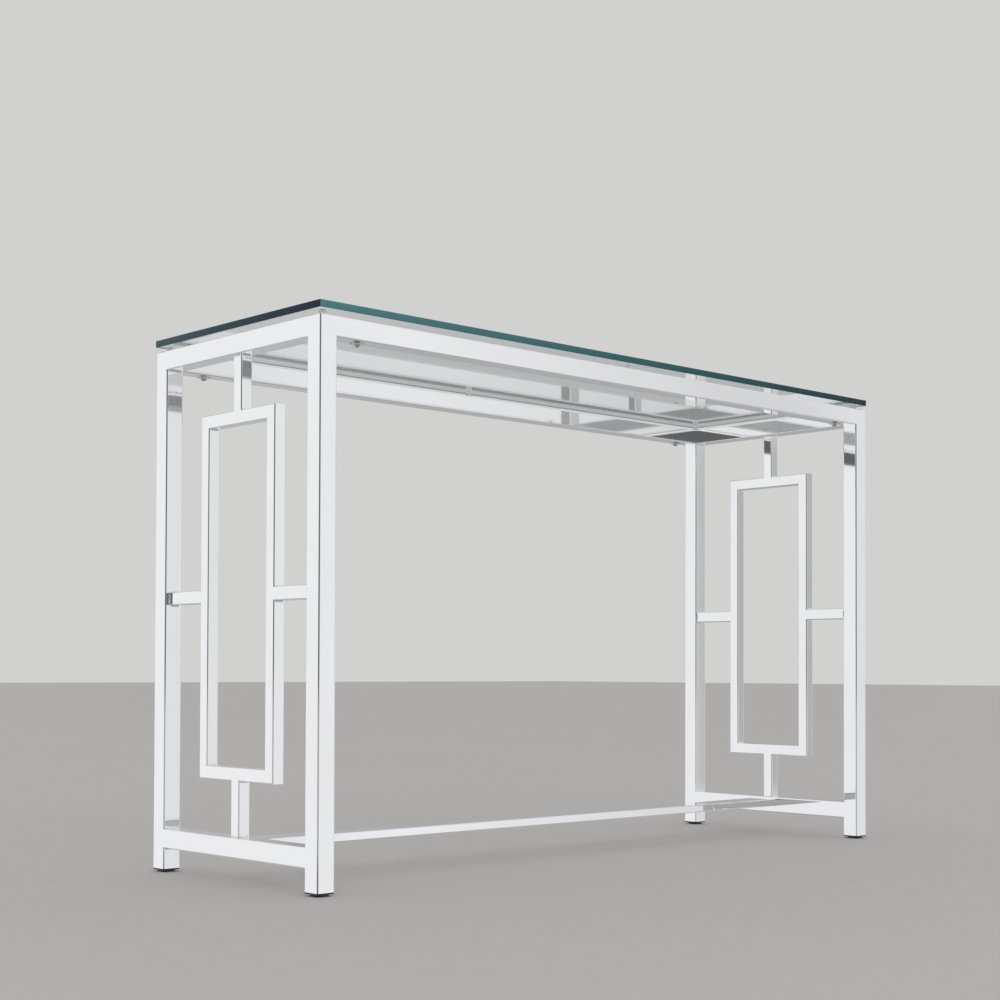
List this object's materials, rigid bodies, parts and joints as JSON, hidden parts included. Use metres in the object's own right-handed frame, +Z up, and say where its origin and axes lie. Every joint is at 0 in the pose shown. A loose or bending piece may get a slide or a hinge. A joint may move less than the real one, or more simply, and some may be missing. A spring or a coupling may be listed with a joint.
{
  "type": "console table",
  "caption": "Narrow console table: polished square-tube frame, open rectangular fretwork in each end, low flat stretcher and a clear glass top on levelling feet.",
  "frame": {"origin": "on the floor, under the middle of the glass top", "axes": "+X along the length, +Y towards the back, +Z up"},
  "size_m": [1.22, 0.4, 0.78],
  "materials": {
    "top_glass": "polished clear float glass, ground edges",
    "bumper_clear": "clear soft silicone",
    "frame_chrome": "mirror-polished chrome plate",
    "fixing_chrome": "bright plated",
    "washer_zinc": "zinc plated",
    "inner_steel": "bare welded steel",
    "cap_plastic": "black moulded nylon",
    "nut_brass": "plain turned brass",
    "pad_plastic": "black moulded nylon",
    "stud_steel": "zinc plated"
  },
  "bodies": {
    "table": {"glass_top": "top_glass", "glass_bumpers": "bumper_clear", "leg_front_left": "frame_chrome", "leg_back_left": "frame_chrome", "leg_front_right": "frame_chrome", "leg_back_right": "frame_chrome", "leg_top_plates": "frame_chrome", "top_rail_left": "frame_chrome", "top_rail_right": "frame_chrome", "bottom_rail_left": "frame_chrome", "bottom_rail_right": "frame_chrome", "fret_front_upright_left": "frame_chrome", "fret_back_upright_left": "frame_chrome", "fret_top_bar_left": "frame_chrome", "fret_bottom_bar_left": "frame_chrome", "fret_top_post_left": "frame_chrome", "fret_bottom_post_left": "frame_chrome", "fret_front_link_left": "frame_chrome", "fret_back_link_left": "frame_chrome", "fret_front_upright_right": "frame_chrome", "fret_back_upright_right": "frame_chrome", "fret_top_bar_right": "frame_chrome", "fret_bottom_bar_right": "frame_chrome", "fret_top_post_right": "frame_chrome", "fret_bottom_post_right": "frame_chrome", "fret_front_link_right": "frame_chrome", "fret_back_link_right": "frame_chrome", "long_rail_front": "frame_chrome", "long_rail_back": "frame_chrome", "rail_spigots": "inner_steel", "rail_bolts": "fixing_chrome", "rail_washers": "washer_zinc", "stretcher": "frame_chrome", "stretcher_tongues": "inner_steel", "stretcher_screws": "fixing_chrome", "foot_caps": "cap_plastic", "foot_nuts": "nut_brass"},
    "pad_front_left": {"glide_pad_front_left": "pad_plastic"},
    "stud_front_left": {"glide_stud_front_left": "stud_steel"},
    "pad_back_left": {"glide_pad_back_left": "pad_plastic"},
    "stud_back_left": {"glide_stud_back_left": "stud_steel"},
    "pad_front_right": {"glide_pad_front_right": "pad_plastic"},
    "stud_front_right": {"glide_stud_front_right": "stud_steel"},
    "pad_back_right": {"glide_pad_back_right": "pad_plastic"},
    "stud_back_right": {"glide_stud_back_right": "stud_steel"}
  },
  "joints": [
    {"name": "glide_travel_front_left", "type": "slide", "parent": "table", "child": "pad_front_left", "axis": [0, 0, -1], "range_m": [0, 0.01]},
    {"name": "glide_turn_front_left", "type": "hinge", "parent": "pad_front_left", "child": "stud_front_left", "pos_m": [-0.59475, -0.18475, 0.003], "axis": [0, 0, -1], "range_deg": [0, 2880]},
    {"name": "glide_travel_back_left", "type": "slide", "parent": "table", "child": "pad_back_left", "axis": [0, 0, -1], "range_m": [0, 0.01]},
    {"name": "glide_turn_back_left", "type": "hinge", "parent": "pad_back_left", "child": "stud_back_left", "pos_m": [-0.59475, 0.18475, 0.003], "axis": [0, 0, -1], "range_deg": [0, 2880]},
    {"name": "glide_travel_front_right", "type": "slide", "parent": "table", "child": "pad_front_right", "axis": [0, 0, -1], "range_m": [0, 0.01]},
    {"name": "glide_turn_front_right", "type": "hinge", "parent": "pad_front_right", "child": "stud_front_right", "pos_m": [0.59475, -0.18475, 0.003], "axis": [0, 0, -1], "range_deg": [0, 2880]},
    {"name": "glide_travel_back_right", "type": "slide", "parent": "table", "child": "pad_back_right", "axis": [0, 0, -1], "range_m": [0, 0.01]},
    {"name": "glide_turn_back_right", "type": "hinge", "parent": "pad_back_right", "child": "stud_back_right", "pos_m": [0.59475, 0.18475, 0.003], "axis": [0, 0, -1], "range_deg": [0, 2880]}
  ],
  "couplings": [
    {"joint": "glide_travel_front_left", "follows": "glide_turn_front_left", "m_per_rad": 0.00019894},
    {"joint": "glide_travel_back_left", "follows": "glide_turn_back_left", "m_per_rad": 0.00019894},
    {"joint": "glide_travel_front_right", "follows": "glide_turn_front_right", "m_per_rad": 0.00019894},
    {"joint": "glide_travel_back_right", "follows": "glide_turn_back_right", "m_per_rad": 0.00019894}
  ]
}
